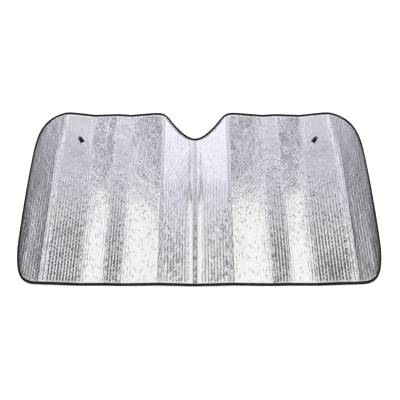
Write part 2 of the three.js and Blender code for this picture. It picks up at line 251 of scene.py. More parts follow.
def free_height(x, y):
    """Slow unevenness of the film between its folds."""
    s = fold_distance(x)
    calm = 1 - np.maximum.reduce([np.exp(-((s - f) / 16.0) ** 2) for f in (0, FOLD_5, FOLD_4, FOLD_2, FOLD_1)])
    calm = calm * (1 - 0.6 * (1 - smooth(100, 122, s)))
    calm = calm * (1 - 0.5 * smooth(300, 320, s) * (1 - smooth(390, 400, s)) * smooth(0, 60, y))
    return calm * (0.45 * field(x, y, 62, 11, 120) + 0.22 * field(x, y, 30, 12, 60))


CREASES = [  # small sharp creases: from, to (left half; distance outwards from the seam, y), height, half width
    (432, 203, 415, 166, 0.42, 4.5), (403 + 14, 322, 403 + 12, 196, 0.36, 4.0), (415, 196, 416, 166, 0.4, 4.0),
    (417, 168, 428, 112, 0.34, 4.0), (455, 262, 470, 236, 0.30, 4.0), (438, 258, 420, 232, 0.28, 4.0),
    (470, 196, 490, 150, 0.22, 5.0), (404, 262, 392, 214, 0.25, 4.0), (180, 300, 205, 262, 0.2, 5.0),
    (585, 196, 606, 130, 0.30, 6.0), (560, 60, 590, 10, 0.26, 6.0), (545, -60, 556, -120, 0.24, 5.0),
]


def crease_height(x, y):
    """Ridges of the small sharp creases."""
    s = fold_distance(x)
    out = np.zeros(np.shape(x))
    for s0, y0, s1, y1, h, w in CREASES:
        length = math.hypot(s1 - s0, y1 - y0)
        dx, dy = (s1 - s0) / length, (y1 - y0) / length
        along = (s - s0) * dx + (y - y0) * dy
        wander = 1.2 * np.sin(along / 11.0 + s0)
        across = -(s - s0) * dy + (y - y0) * dx + wander
        fade = smooth(-4, 6, along) * (1 - smooth(length - 6, length + 4, along))
        out = np.maximum(out, h * fade * np.clip(1 - np.abs(across) / w, 0, 1))
    return out


def cells(x, y):
    """Place within a bubble (each way from -0.5 to 0.5), and the bubble's column and row."""
    s = fold_distance(x)
    u = (s - SEAM_W / 2 - PITCH / 2) / PITCH
    i = np.floor(u + 0.5)
    v = y / SPACING + 0.5 * np.mod(i, 2)
    j = np.floor(v + 0.5)
    return u - i, v - j, i, j


def bubble_relief(x, y, seed, height, tilt):
    """Film over the bubbles: flat-topped ovals in columns, staggered like brickwork, each a little tilted."""
    fu, fv, i, j = cells(x, y)
    side = np.where(x < SEAM_X, 1, 131)
    table = np.random.RandomState(seed).normal(0, 1, (3, 512, 256)).clip(-2, 2)
    col, row = (i * 1 + side).astype(int) % 512, j.astype(int) % 256
    top = 1 - smooth(0.42, 1.05, (np.abs(2 * fu) ** 3 + 0.12 * np.abs(2 * fv) ** 3) ** (1 / 3))
    lean = tilt * (fu * PITCH * table[1][col, row] + fv * SPACING * table[2][col, row])
    return top * (height * (1 + 0.2 * table[0][col, row]) + lean)


def new_mesh(name, verts, faces, smooth_shade=True):
    me = bpy.data.meshes.new(name)
    me.from_pydata([tuple(v) for v in np.asarray(verts, float) / 1000.0], [], faces)
    me.update()
    if smooth_shade:
        me.polygons.foreach_set("use_smooth", [True] * len(me.polygons))
    ob = bpy.data.objects.new(name, me)
    bpy.context.scene.collection.objects.link(ob)
    return ob


# ------------------------------------------------------------------ film skins
DX, DY = PITCH / 3, SPACING / 5
cols_left = SEAM_X - np.arange(0, 640, DX)[::-1]
cols_right = SEAM_X + STRETCH * np.arange(0, 640, DX)[1:]
GX = np.concatenate([cols_left, cols_right])
GY = np.arange(-124, 125) * DY
MX, MY = np.meshgrid(GX, GY, indexing="ij")
DEPTH, NEAREST = edge_depth(MX, MY)
SLIT = np.zeros(MX.shape, bool)
for side, cx, cy in CUPS:
    ax, ay = side * LUG_DIR[0] / math.hypot(*LUG_DIR), LUG_DIR[1] / math.hypot(*LUG_DIR)
    along, across = (MX - cx) * ax + (MY - cy) * ay, -(MX - cx) * ay + (MY - cy) * ax
    SLIT |= (np.abs(along) < 5.5) & (np.abs(across) < 3.4)
INSIDE = (DEPTH > 1.0) & ~SLIT


def skin(name, up):
    """One closed skin of the sheet: the film with its bubbles outside, and a plain face inside."""
    ident = np.full(MX.shape, -1)
    a, b, c, d = INSIDE[:-1, :-1], INSIDE[1:, :-1], INSIDE[1:, 1:], INSIDE[:-1, 1:]
    count = a.astype(int) + b + c + d
    used = np.zeros(MX.shape, bool)
    cells = count >= 3
    for arr, sx, sy in ((a, 0, 0), (b, 1, 0), (c, 1, 1), (d, 0, 1)):
        used[sx:used.shape[0] - 1 + sx, sy:used.shape[1] - 1 + sy] |= cells & arr
    ident[used] = np.arange(used.sum())
    quads = []
    q = np.stack([ident[:-1, :-1], ident[1:, :-1], ident[1:, 1:], ident[:-1, 1:]], -1)
    full = q[count == 4]
    tri = q[count == 3]
    faces = [tuple(f) for f in full.tolist()] + [tuple(v for v in f if v >= 0) for f in tri.tolist()]
    px, py = MX[used].copy(), MY[used].copy()
    # border of the fine face
    from_to = {}
    seen = {}
    for f in faces:
        for k in range(len(f)):
            e = (f[k], f[(k + 1) % len(f)])
            seen[e] = True
    for e in seen:
        if (e[1], e[0]) not in seen:
            from_to.setdefault(e[0], []).append(e[1])
    loops = []
    starts = dict(from_to)
    while starts:
        first = next(iter(starts))
        loop, at = [], first
        while at in starts:
            nxt = starts[at]
            loop.append(at)
            to = nxt.pop()
            if not nxt:
                del starts[at]
            at = to
            if at == first:
                break
        loops.append(loop)
    border = np.concatenate([np.array(l) for l in loops])
    outer = max(loops, key=len)
    dep, near = edge_depth(px[outer], py[outer])
    shift = (1.5 - dep)[:, None] * INWARD[near]
    px[outer] += shift[:, 0]
    py[outer] += shift[:, 1]
    dep_all = DEPTH[used].copy()
    dep_all[outer] = 1.5
    past = dep_all - WIDTH[NEAREST[used]]          # distance past the tape's inner edge
    mid = sheet_height(px, py) + free_height(px, py) * smooth(6, 40, dep_all)
    # relief: pressed flat on the folds, and at the tape
    flat = pressed(px, py)
    keep = (1 - flat) * smooth(0.8, 5.0, past) * liveliness(px, py)
    puff = 0.6 * smooth(-1.0, 7.0, past)
    rough = 1 + 0.2 * field(px, py, 28, 21 + up)
    rel = bubble_relief(px, py, 5 if up > 0 else 6, 0.24, 0.018) * rough
    thick = 1.0 + 0.4 * smooth(1.5, 7.0, dep_all)
    sunk = flat * (1 - 0.85 * smooth(-10, 50, py) * (fold_distance(px) < 40))
    z = mid + up * (thick + (puff if up > 0 else 0.5 * puff) - 0.3 * sunk * smooth(-1, 5, past) + rel * keep)
    if up > 0:
        z = z + crease_height(px, py) * smooth(1, 7, past)
        # the film rolls down to the tape round the upper outer corners
        s = fold_distance(px)
        z = z + 0.9 * (smooth(0, 16, past) - 1) * smooth(545, 575, s) * smooth(150, 215, py)
    verts = np.stack([px, py, z], 1)
    # plain inner face on the same border, a little off the middle of the sheet
    inner_x, inner_y = [], []
    step_y = 20.0
    for xx in sorted(set(np.round(np.concatenate([
            SEAM_X - np.arange(0, 640, 12.0), SEAM_X + STRETCH * np.arange(12, 640, 12.0),
            *[[SEAM_X - f, SEAM_X + STRETCH * f] for f in (FOLD_5, FOLD_4, FOLD_2, FOLD_1)]]), 3))):
        for yy in np.arange(-340, 341, step_y):
            inner_x.append(xx)
            inner_y.append(yy)
    inner_x, inner_y = np.array(inner_x), np.array(inner_y)
    dd, _ = edge_depth(inner_x, inner_y)
    ok = dd > 8
    for side, cx, cy in CUPS:
        ok &= np.hypot(inner_x - cx, inner_y - cy) > 12
    inner_x, inner_y = inner_x[ok], inner_y[ok]
    pts = [Vector((px[v], py[v])) for v in border] + [Vector(p) for p in zip(inner_x, inner_y)]
    edges, k = [], 0
    for loop in loops:
        edges += [(k + i, k + (i + 1) % len(loop)) for i in range(len(loop))]
        k += len(loop)
    cv, ce, cf, ov, oe, of_ = delaunay_2d_cdt(pts, edges, [], 1, 1e-7)
    base = len(verts)
    place = {}
    extra = []
    for i, origin in enumerate(ov):
        src = min(origin) if origin else -1
        if 0 <= src < len(border):
            place[i] = int(border[src])
        else:
            x0, y0 = cv[i].x, cv[i].y
            place[i] = base + len(extra)
            extra.append((x0, y0, float(sheet_height(x0, y0)) + up * 0.25))
    holes = [np.array([[px[v], py[v]] for v in l]).mean(0) for l in loops if l is not outer]
    for f in cf:
        cx, cy = np.mean([[cv[i].x, cv[i].y] for i in f], axis=0)
        if any(math.hypot(cx - h[0], cy - h[1]) < 7.5 and all(place[i] < base for i in f) for h in holes):
            continue
        t = [place[i] for i in f]
        p = np.array([[cv[i].x, cv[i].y] for i in f[:3]])
        ccw = np.cross(p[1] - p[0], p[2] - p[0]) > 0
        faces.append(tuple(t[::-1] if ccw else t))
    verts = np.vstack([verts, np.array(extra)])
    if up < 0:
        faces = [tuple(reversed(f)) for f in faces]
    ob = new_mesh(name, verts, faces)
    s = fold_distance(px)
    taut = (smooth(126, 142, s) * (1 - smooth(232, 250, s)) + smooth(322, 336, s) * (1 - smooth(380, 398, s)))
    loose = taut * (1 - smooth(-10, 40, py)) * (1 - flat) * smooth(0.8, 5.0, past)
    for label, value in (("bubbles", keep), ("loose", loose)):
        layer = ob.data.attributes.new(label, "FLOAT", "POINT")
        layer.data.foreach_set("value", np.concatenate([value, np.zeros(len(verts) - len(keep))]))
    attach(ob, "root")
    return ob


# ------------------------------------------------------------------ materials
NET_HEIGHT, STROKE_HEIGHT = 0.36, 0.33      # millimetres


def material(name):
    m = bpy.data.materials.new(name)
    m.use_nodes = True
    nt = m.node_tree
    return m, nt, nt.nodes["Principled BSDF"]


def node(nt, kind, **settings):
    n = nt.nodes.new(kind)
    for k, v in settings.items():
        if k.startswith("in_"):
            n.inputs[k[3:].replace("_", " ")].default_value = v
        else:
            setattr(n, k, v)
    return n


class Maths:
    """Builds chains of maths nodes."""

    def __init__(self, nt):
        self.nt = nt

    def __call__(self, op, *args, clamp=False):
        n = self.nt.nodes.new("ShaderNodeMath")
        n.operation = op
        n.use_clamp = clamp
        for k, v in enumerate(args):
            if isinstance(v, (int, float)):
                n.inputs[k].default_value = v
            else:
                self.nt.links.new(v, n.inputs[k])
        return n.outputs[0]

    def step(self, a, b, v, lo=0.0, hi=1.0, kind="SMOOTHSTEP"):
        n = self.nt.nodes.new("ShaderNodeMapRange")
        n.interpolation_type = kind
        for k, w in (("From Min", a), ("From Max", b), ("To Min", lo), ("To Max", hi)):
            n.inputs[k].default_value = w
        self.nt.links.new(v, n.inputs["Value"])
        return n.outputs["Result"]


def foil_material(name, tint, seed):
    m, nt, bsdf = material(name)
    bsdf.inputs["Metallic"].default_value = 1.0
    link = nt.links.new
    f = Maths(nt)
    where = node(nt, "ShaderNodeTexCoord")
    xyz = node(nt, "ShaderNodeSeparateXYZ")
    link(where.outputs["Object"], xyz.inputs[0])
    X, Y = xyz.outputs["X"], xyz.outputs["Y"]
    # soft differences of tint over the film
    patch = node(nt, "ShaderNodeTexNoise")
    patch.inputs["Scale"].default_value = 9.0
    patch.inputs["Detail"].default_value = 3.0
    link(where.outputs["Object"], patch.inputs["Vector"])
    ramp = node(nt, "ShaderNodeValToRGB")
    ramp.color_ramp.elements[0].position = 0.3
    ramp.color_ramp.elements[0].color = (tint[0] * 0.955, tint[1] * 0.955, tint[2] * 0.985, 1)
    ramp.color_ramp.elements[1].position = 0.7
    ramp.color_ramp.elements[1].color = (tint[0] * 1.0, tint[1] * 1.0, tint[2] * 0.99, 1)
    link(patch.outputs["Fac"], ramp.inputs["Fac"])
    link(ramp.outputs["Color"], bsdf.inputs["Base Color"])
    # roughness: scuffed a little in places
    fine = node(nt, "ShaderNodeTexNoise")
    fine.inputs["Scale"].default_value = 90.0
    fine.inputs["Detail"].default_value = 4.0
    link(where.outputs["Object"], fine.inputs["Vector"])
    rough = f.step(0.3, 0.7, fine.outputs["Fac"], 0.08, 0.16, "LINEAR")
    # the welded net between the bubbles, in the same columns and rows as the mesh
    off = f("SUBTRACT", X, SEAM_X / 1000)
    left_side = f("LESS_THAN", off, 0.0)
    wide = f("ADD", f("MULTIPLY", left_side, 1 - 1 / STRETCH), 1 / STRETCH)
    s = f("MULTIPLY", f("ABSOLUTE", off), wide)
    # the film is scuffed matt along the seam
    wear_and_painted_highlight = f("MULTIPLY", f.step(0.003, 0.0065, s, 1.0, 0.0), f.step(0.35, 0.65, fine.outputs["Fac"], 0.12, 0.38))
    link(f("ADD", rough, wear_and_painted_highlight), bsdf.inputs["Roughness"])
    u = f("DIVIDE", f("SUBTRACT", s, (SEAM_W + PITCH) / 2000), PITCH / 1000)
    i = f("FLOOR", f("ADD", u, 0.5))
    fu = f("SUBTRACT", u, i)
    odd = f("MODULO", f("ADD", i, 64.0), 2.0)
    v = f("ADD", f("DIVIDE", Y, SPACING / 1000), f("MULTIPLY", odd, 0.5))
    j = f("FLOOR", f("ADD", v, 0.5))
    fv = f("SUBTRACT", v, j)
    cu = f("ABSOLUTE", f("MULTIPLY", fu, 2.0))
    cv = f("ABSOLUTE", f("MULTIPLY", fv, 2.0))
    cell = node(nt, "ShaderNodeCombineXYZ")
    link(f("ADD", i, f("MULTIPLY", left_side, 300.0)), cell.inputs[0])
    link(j, cell.inputs[1])
    cell.inputs[2].default_value = seed
    rnd = node(nt, "ShaderNodeTexWhiteNoise", noise_dimensions="3D")
    link(cell.outputs[0], rnd.inputs["Vector"])
    rgb = node(nt, "ShaderNodeSeparateXYZ")
    link(rnd.outputs["Color"], rgb.inputs[0])
    full = f("ADD", f("MULTIPLY", rgb.outputs["X"], 0.6), 0.7)
    bridge = f("SUBTRACT", 1.0, f("MULTIPLY", f.step(0.74, 1.0, cv, 0.0, 1.0, "LINEAR"), f.step(0.4, 0.9, rgb.outputs["Z"], 0.05, 0.9)))
    top = f("MULTIPLY", f.step(0.56, 1.0, cu, 1.0, 0.0, "LINEAR"), bridge)
    lean = f("ADD",
             f("MULTIPLY", f("MULTIPLY", fu, f("SUBTRACT", rgb.outputs["Y"], 0.5)), PITCH / 1000 * 0.07),
             f("MULTIPLY", f("MULTIPLY", fv, f("SUBTRACT", rgb.outputs["Z"], 0.5)), SPACING / 1000 * 0.04))
    net = f("MULTIPLY", top, f("ADD", f("MULTIPLY", full, NET_HEIGHT / 1000), lean))
    keep = node(nt, "ShaderNodeAttribute", attribute_name="bubbles")
    loose = node(nt, "ShaderNodeAttribute", attribute_name="loose")
    net = f("MULTIPLY", net, keep.outputs["Fac"])
    # on the taut panels only some bubbles stand out, each with one sharp side and ends that fade
    which = f("SUBTRACT", f("MULTIPLY", f("GREATER_THAN", rgb.outputs["Y"], 0.5), 2.0), 1.0)
    fs = f("MULTIPLY", fu, which)
    flank = f("MULTIPLY", f.step(-0.5, 0.2, fs), f.step(0.26, 0.5, fs, 1.0, 0.0))
    some = f("MULTIPLY", f("MULTIPLY", loose.outputs["Fac"], f.step(0.35, 1.0, rgb.outputs["X"])), f.step(0.1, 1.0, cv, 1.0, 0.0))
    net = f("ADD", net, f("MULTIPLY", f("MULTIPLY", flank, some), 0.30 / 1000))
    high = f.step(-0.03, 0.09, Y)
    # crinkles of the thin film: short strokes both ways, in patches
    strokes = None
    for k, (angle, scale) in enumerate(((0.80, 122.0), (-0.74, 134.0))):
        turn = node(nt, "ShaderNodeMapping", vector_type="TEXTURE")
        turn.inputs["Rotation"].default_value = (0, 0, angle)
        turn.inputs["Scale"].default_value = (1.0, 2.3, 1.0)
        turn.inputs["Location"].default_value = (0.13 * seed + k, 0.07 * seed, 0)
        link(where.outputs["Object"], turn.inputs["Vector"])
        n = node(nt, "ShaderNodeTexNoise")
        n.inputs["Scale"].default_value = scale
        n.inputs["Detail"].default_value = 1.5
        n.inputs["Roughness"].default_value = 0.5
        link(turn.outputs["Vector"], n.inputs["Vector"])
        strokes = n.outputs["Fac"] if strokes is None else f("MAXIMUM", strokes, n.outputs["Fac"])
    where_more = node(nt, "ShaderNodeTexNoise")
    where_more.inputs["Scale"].default_value = 22.0
    where_more.inputs["Detail"].default_value = 1.0
    link(where.outputs["Object"], where_more.inputs["Vector"])
    strokes = f("MULTIPLY", strokes, f.step(0.35, 0.62, where_more.outputs["Fac"], 0.7, 1.25))
    outer = f.step((FOLD_1 - 1) / 1000, (FOLD_1 + 1) / 1000, s)
    inner = f.step(FOLD_5 / 1000 - 0.003, FOLD_5 / 1000 + 0.003, s, 0.14, 1.0)
    beyond = f.step(FOLD_2 / 1000 - 0.01, FOLD_2 / 1000 + 0.01, s, 1.0, 0.7)
    high = f("MULTIPLY", high, f("MULTIPLY", inner, beyond))
    creased = f("ADD", f("ADD", 0.3, f("MULTIPLY", high, 2.3)), f("MULTIPLY", outer, f("SUBTRACT", 2.7, f("MULTIPLY", high, 2.4))))
    # the inner flank of the bowed panel is crumpled in its lower part too
    crumpled = f("MULTIPLY", f.step((FOLD_4 - 3) / 1000, (FOLD_4 + 3) / 1000, s), f.step(BOW_CREST / 1000, (BOW_CREST + 12) / 1000, s, 1.0, 0.0))
    creased = f("ADD", creased, f("MULTIPLY", crumpled, f.step(-0.03, 0.09, Y, 0.6, 2.2)))
    creased = f("MULTIPLY", creased, STROKE_HEIGHT / 1000)
    height = f("ADD", net, f("MULTIPLY", strokes, creased))
    # the film is pinched in a wavy line beside the lower part of the inner ridge
    run = node(nt, "ShaderNodeTexNoise", noise_dimensions="1D")
    run.inputs["Scale"].default_value = 34.0
    run.inputs["Detail"].default_value = 1.0
    link(f("ADD", Y, f("MULTIPLY", left_side, 3.7)), run.inputs["W"])
    wave = f("MULTIPLY", f("SUBTRACT", run.outputs["Fac"], 0.5), 0.016)
    aside = f("ABSOLUTE", f("SUBTRACT", f("ADD", s, wave), (FOLD_5 - 5.0) / 1000))
    pinch = f("MULTIPLY", f.step(0.0, 0.0042, aside, 1.0, 0.0), f.step(-0.09, -0.03, Y, 1.0, 0.0))
    height = f("SUBTRACT", height, f("MULTIPLY", pinch, 0.00075))
    bump = node(nt, "ShaderNodeBump")
    bump.inputs["Strength"].default_value = 1.0
    bump.inputs["Distance"].default_value = 1.0
    link(height, bump.inputs["Height"])
    link(bump.outputs["Normal"], bsdf.inputs["Normal"])
    return m


def tape_material():
    m, nt, bsdf = material("black_woven_tape")
    link = nt.links.new
    where = node(nt, "ShaderNodeTexCoord")
    warp = node(nt, "ShaderNodeTexWave")
    warp.wave_type, warp.bands_direction = "BANDS", "X"
    warp.inputs["Scale"].default_value = 260.0
    warp.inputs["Distortion"].default_value = 0.6
    weft = node(nt, "ShaderNodeTexWave")
    weft.wave_type, weft.bands_direction = "BANDS", "Y"
    weft.inputs["Scale"].default_value = 260.0
    weft.inputs["Distortion"].default_value = 0.6
    for w in (warp, weft):
        link(where.outputs["Object"], w.inputs["Vector"])
    mix = node(nt, "ShaderNodeMath", operation="MULTIPLY")
    link(warp.outputs["Fac"], mix.inputs[0])
    link(weft.outputs["Fac"], mix.inputs[1])
    lint = node(nt, "ShaderNodeTexNoise")
    lint.inputs["Scale"].default_value = 55.0
    lint.inputs["Detail"].default_value = 5.0
    link(where.outputs["Object"], lint.inputs["Vector"])
    add = node(nt, "ShaderNodeMath", operation="ADD")
    link(mix.outputs[0], add.inputs[0])
    link(lint.outputs["Fac"], add.inputs[1])
    ramp = node(nt, "ShaderNodeValToRGB")
    ramp.color_ramp.elements[0].position = 0.3
    ramp.color_ramp.elements[0].color = (0.003, 0.003, 0.0034, 1)
    ramp.color_ramp.elements[1].position = 1.0
    ramp.color_ramp.elements[1].color = (0.009, 0.009, 0.0098, 1)
    link(add.outputs[0], ramp.inputs["Fac"])
    link(ramp.outputs["Color"], bsdf.inputs["Base Color"])
    bsdf.inputs["Roughness"].default_value = 0.8
    bsdf.inputs["Specular IOR Level"].default_value = 0.15
    bsdf.inputs["Sheen Weight"].default_value = 0.04
    bsdf.inputs["Sheen Roughness"].default_value = 0.5
    bump = node(nt, "ShaderNodeBump")
    bump.inputs["Strength"].default_value = 0.6
    bump.inputs["Distance"].default_value = 0.0003
    link(mix.outputs[0], bump.inputs["Height"])
    link(bump.outputs["Normal"], bsdf.inputs["Normal"])
    return m


def thread_material():
    m, nt, bsdf = material("black_thread")
    link = nt.links.new
    where = node(nt, "ShaderNodeTexCoord")
    n = node(nt, "ShaderNodeTexNoise")
    n.inputs["Scale"].default_value = 900.0
    link(where.outputs["Object"], n.inputs["Vector"])
    ramp = node(nt, "ShaderNodeValToRGB")
    ramp.color_ramp.elements[0].color = (0.006, 0.006, 0.007, 1)
    ramp.color_ramp.elements[1].color = (0.025, 0.025, 0.027, 1)
    link(n.outputs["Fac"], ramp.inputs["Fac"])
    link(ramp.outputs["Color"], bsdf.inputs["Base Color"])
    bsdf.inputs["Roughness"].default_value = 0.6
    return m


def rubber_material():
    m, nt, bsdf = material("black_moulded_cup")
    link = nt.links.new
    where = node(nt, "ShaderNodeTexCoord")
    n = node(nt, "ShaderNodeTexNoise")
    n.inputs["Scale"].default_value = 120.0
    n.inputs["Detail"].default_value = 4.0
    link(where.outputs["Object"], n.inputs["Vector"])
    ramp = node(nt, "ShaderNodeValToRGB")
    ramp.color_ramp.elements[0].color = (0.0010, 0.0010, 0.0012, 1)
    ramp.color_ramp.elements[1].color = (0.0025, 0.0025, 0.003, 1)
    link(n.outputs["Fac"], ramp.inputs["Fac"])
    # painted highlight: the upper part of the lug's nose is mixed towards a lighter grey for the light it catches, and
    # the rest stays near black
    wear_and_painted_highlight = node(nt, "ShaderNodeAttribute", attribute_name="wear_and_painted_highlight")
    mix = node(nt, "ShaderNodeMix", data_type="RGBA")
    link(wear_and_painted_highlight.outputs["Fac"], mix.inputs["Factor"])
    link(ramp.outputs["Color"], mix.inputs["A"])
    mix.inputs["B"].default_value = (0.035, 0.035, 0.038, 1)
    link(mix.outputs["Result"], bsdf.inputs["Base Color"])
    bsdf.inputs["Specular IOR Level"].default_value = 0.14
    rr = node(nt, "ShaderNodeMapRange")
    rr.inputs["To Min"].default_value = 0.32
    rr.inputs["To Max"].default_value = 0.5
    link(n.outputs["Fac"], rr.inputs["Value"])
    link(rr.outputs["Result"], bsdf.inputs["Roughness"])
    bump = node(nt, "ShaderNodeBump")
    bump.inputs["Strength"].default_value = 0.2
    bump.inputs["Distance"].default_value = 0.0002
    link(n.outputs["Fac"], bump.inputs["Height"])
    link(bump.outputs["Normal"], bsdf.inputs["Normal"])
    return m


FOIL = foil_material("bright_bubble_foil", (0.90, 0.90, 0.915), 1)
FOIL_BACK = foil_material("bright_bubble_foil_back", (0.88, 0.88, 0.895), 7)
TAPE, THREAD, RUBBER = tape_material(), thread_material(), rubber_material()

front = skin("foil_skin_front", 1)
front.data.materials.append(FOIL)
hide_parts("foil_bubble_panel")
back = skin("foil_skin_back", -1)
back.data.materials.append(FOIL_BACK)


# ------------------------------------------------------------------ edge tape
TAPE_SECTION, STITCH_AT, STITCH_PITCH = 7.0, 0.647, 4.6


def tape_sections():
    """Closed cross-section of the tape: (distance in from the edge, offset from the sheet's middle)."""
    out = []
    for k in range(13):                        # round the fold of the tape
        a = math.pi / 2 + math.pi * k / 12
        out.append((1.9 + 1.9 * math.cos(a), TAPE_OUT * math.sin(a)))
    lower = [(n, -1) for n in (2.4, 3.1, 3.8, 4.3, 4.7, 5.0, 5.2, 5.4, 5.7, 6.1, 6.5, 6.85)]
    outer_low = [(n, -TAPE_OUT) for n, _ in lower]
    tip_low = [(7.0, -TAPE_OUT + 0.15), (7.0, -TAPE_OUT + 0.45)]
    inner_low = [(n, -TAPE_OUT + TAPE_T) for n in (6.7, 5.2, 4.0, 2.8)]
    inner_fold = [(0.6 + 1.3 + 1.3 * math.cos(a), (TAPE_OUT - TAPE_T) * math.sin(a)) for a in
                  [-math.pi / 2 - math.pi * k / 6 for k in range(1, 6)]]
    inner_up = [(n, TAPE_OUT - TAPE_T) for n in (2.8, 4.0, 5.2, 6.7)]
    tip_up = [(7.0, TAPE_OUT - 0.45), (7.0, TAPE_OUT - 0.15)]
    outer_up = [(n, TAPE_OUT) for n, _ in reversed(lower)]
    return out + outer_low + tip_low + inner_low + inner_fold + inner_up + tip_up + outer_up


def build_tape():
    loop, per = even_loop(OUTLINE, STITCH_PITCH / 2)
    n = len(loop) - len(loop) % 2
    loop, per = even_loop(OUTLINE, PERIMETER / n)
    n = len(loop)
    tan = np.roll(loop, -2, 0) - np.roll(loop, 2, 0)
    tan /= np.linalg.norm(tan, axis=1)[:, None]
    inw = np.stack([-tan[:, 1], tan[:, 0]], 1)
    sec = np.array(tape_sections())
    m = len(sec)
    dist = sec[:, 0][None, :] * np.ones((n, 1))
    off = sec[:, 1][None, :] * np.ones((n, 1))
    dist = np.where(dist > 1.9, 1.9 + (dist - 1.9) * ((tape_width(inw[:, 1]) - 1.9) / (TAPE_SECTION - 1.9))[:, None], dist)
    outer_face = np.abs(np.abs(off) - TAPE_OUT) < 1e-6
    even = (np.arange(n) % 2 == 0)[:, None]
    along = np.arange(n) * per / n
    slow = field(along, 0 * along, 23, 31)[:, None]
    # the thread pulls the tape in along its line, and the tape swells between stitches
    share = (dist - 1.9) / (tape_width(inw[:, 1]) - 1.9)[:, None]
    groove = np.exp(-((share - STITCH_AT) / 0.11) ** 2)
    swell = np.exp(-((share - 0.25) / 0.27) ** 2)
    edge_in = np.where(share > 0.86, (0.25 * field(along, 0 * along, 9, 33))[:, None], 0)
    sgn = np.sign(off)
    off = off + np.where(outer_face, sgn * (-0.34 * groove - 0.12 * swell * (1 + slow) / 2 * even), 0)
    x = loop[:, None, 0] + inw[:, None, 0] * (dist + edge_in)
    y = loop[:, None, 1] + inw[:, None, 1] * (dist + edge_in)
    z = sheet_height(x, y) + off
    z = np.maximum(z, 0.0)
    verts = np.stack([x, y, z], -1).reshape(-1, 3)
    faces = []
    for i in range(n):
        j = (i + 1) % n
        for k in range(m):
            l = (k + 1) % m
            faces.append((i * m + k, j * m + k, j * m + l, i * m + l))
    ob = new_mesh("edge_tape", verts, faces)
    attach(ob, "root")
    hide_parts("edge_binding")
    ob.data.materials.append(TAPE)
    return ob, loop, inw, per


tape, LOOP, LOOP_IN, PER = build_tape()


def build_stitches():
    """Running stitches of black thread on both faces of the tape."""
    n = int(round(PER / STITCH_PITCH))
    at = (np.arange(n) + 0.5) * PER / n
    pos = np.arange(len(LOOP)) * PER / len(LOOP)
    verts, faces = [], []
    ring = 5
    half = 1.75
    shape = [(-half, 0.05), (-half * 0.8, 0.24), (0, 0.30), (half * 0.8, 0.24), (half, 0.05)]
    cx = np.interp(at, pos, LOOP[:, 0], period=PER)
    cy = np.interp(at, pos, LOOP[:, 1], period=PER)
    ix = np.interp(at, pos, LOOP_IN[:, 0], period=PER)
    iy = np.interp(at, pos, LOOP_IN[:, 1], period=PER)
    for up in (1, -1):
        for q in range(n):
            l = math.hypot(ix[q], iy[q])
            nx, ny = ix[q] / l, iy[q] / l
            tx, ty = ny, -nx
            inset = 1.9 + STITCH_AT * (float(tape_width(ny)) - 1.9)
            ox, oy = cx[q] + nx * inset, cy[q] + ny * inset
            base = len(verts)
            for s, r in shape:
                px, py = ox + tx * s, oy + ty * s
                lift = TAPE_OUT - 0.26 - 0.20 * (s / half) ** 2
                for k in range(ring):
                    a = 2 * math.pi * k / ring
                    verts.append((px + nx * r * math.cos(a), py + ny * r * math.cos(a), up * lift + r * math.sin(a), 1))
            for g in range(len(shape) - 1):
                for k in range(ring):
                    l2 = (k + 1) % ring
                    f = (base + g * ring + k, base + g * ring + l2, base + (g + 1) * ring + l2, base + (g + 1) * ring + k)
                    faces.append(f)
            faces.append(tuple(base + k for k in range(ring))[::-1])
            faces.append(tuple(base + (len(shape) - 1) * ring + k for k in range(ring)))
    v = np.array(verts)
    z = sheet_height(v[:, 0], v[:, 1]) + v[:, 2]
    z = np.maximum(z, 0.0)
    ob = new_mesh("edge_stitches", np.stack([v[:, 0], v[:, 1], z], 1), faces)
    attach(ob, "root")
    ob.data.materials.append(THREAD)
    return ob


stitches = build_stitches()


# ------------------------------------------------------------------ suction cups
def cup_frame(side, cx, cy):
    e = 4.0
    nx = -(float(sheet_height(cx + e, cy)) - float(sheet_height(cx - e, cy))) / (2 * e)
    ny = -(float(sheet_height(cx, cy + e)) - float(sheet_height(cx, cy - e))) / (2 * e)
    n = Vector((nx, ny, 1)).normalized()
    a = Vector((side * LUG_DIR[0], LUG_DIR[1], 0))
    a = (a - n * a.dot(n)).normalized()
    c = n.cross(a)
    m = Matrix((a, c, n)).transposed().to_4x4()
    m.translation = Vector((cx, cy, float(sheet_height(cx, cy))))
    return m


def lathe(profile, steps):
    verts, faces = [], []
    rings = []
    for r, z in profile:
        if r < 1e-6:
            rings.append([len(verts)])
            verts.append((0, 0, z))
        else:
            rings.append([len(verts) + k for k in range(steps)])
            verts += [(r * math.cos(2 * math.pi * k / steps), r * math.sin(2 * math.pi * k / steps), z) for k in range(steps)]
    for g in range(len(rings) - 1):
        p, q = rings[g], rings[g + 1]
        for k in range(steps):
            l = (k + 1) % steps
            if len(p) == 1:
                faces.append((p[0], q[l], q[k]))
            elif len(q) == 1:
                faces.append((p[k], p[l], q[0]))
            else:
                faces.append((p[k], p[l], q[l], q[k]))
    return verts, faces


def lug_outline(grow, steps=14):
    """Round nose, waist and square flared tail, seen from above."""
    tail = [(-12.2, -8.4), (-10.2, -9.0), (-7.6, -8.0), (-4.8, -7.1), (-1, -7.0), (3.6, -7.1)]
    pts = list(tail)
    for k in range(steps + 1):
        a = -math.pi / 2 + math.pi * k / steps
        pts.append((7.6 + 7.1 * math.cos(a), 7.1 * math.sin(a)))
    pts += [(x, -y) for x, y in reversed(tail)]
    pts += [(-11.5, 4.0), (-11.1, 0), (-11.5, -4.0)]
    q, _ = even_loop(np.array(pts), 0.9)
    t = np.roll(q, -1, 0) - np.roll(q, 1, 0)
    t /= np.linalg.norm(t, axis=1)[:, None]
    inward = np.stack([-t[:, 1], t[:, 0]], 1)
    return q + inward * grow


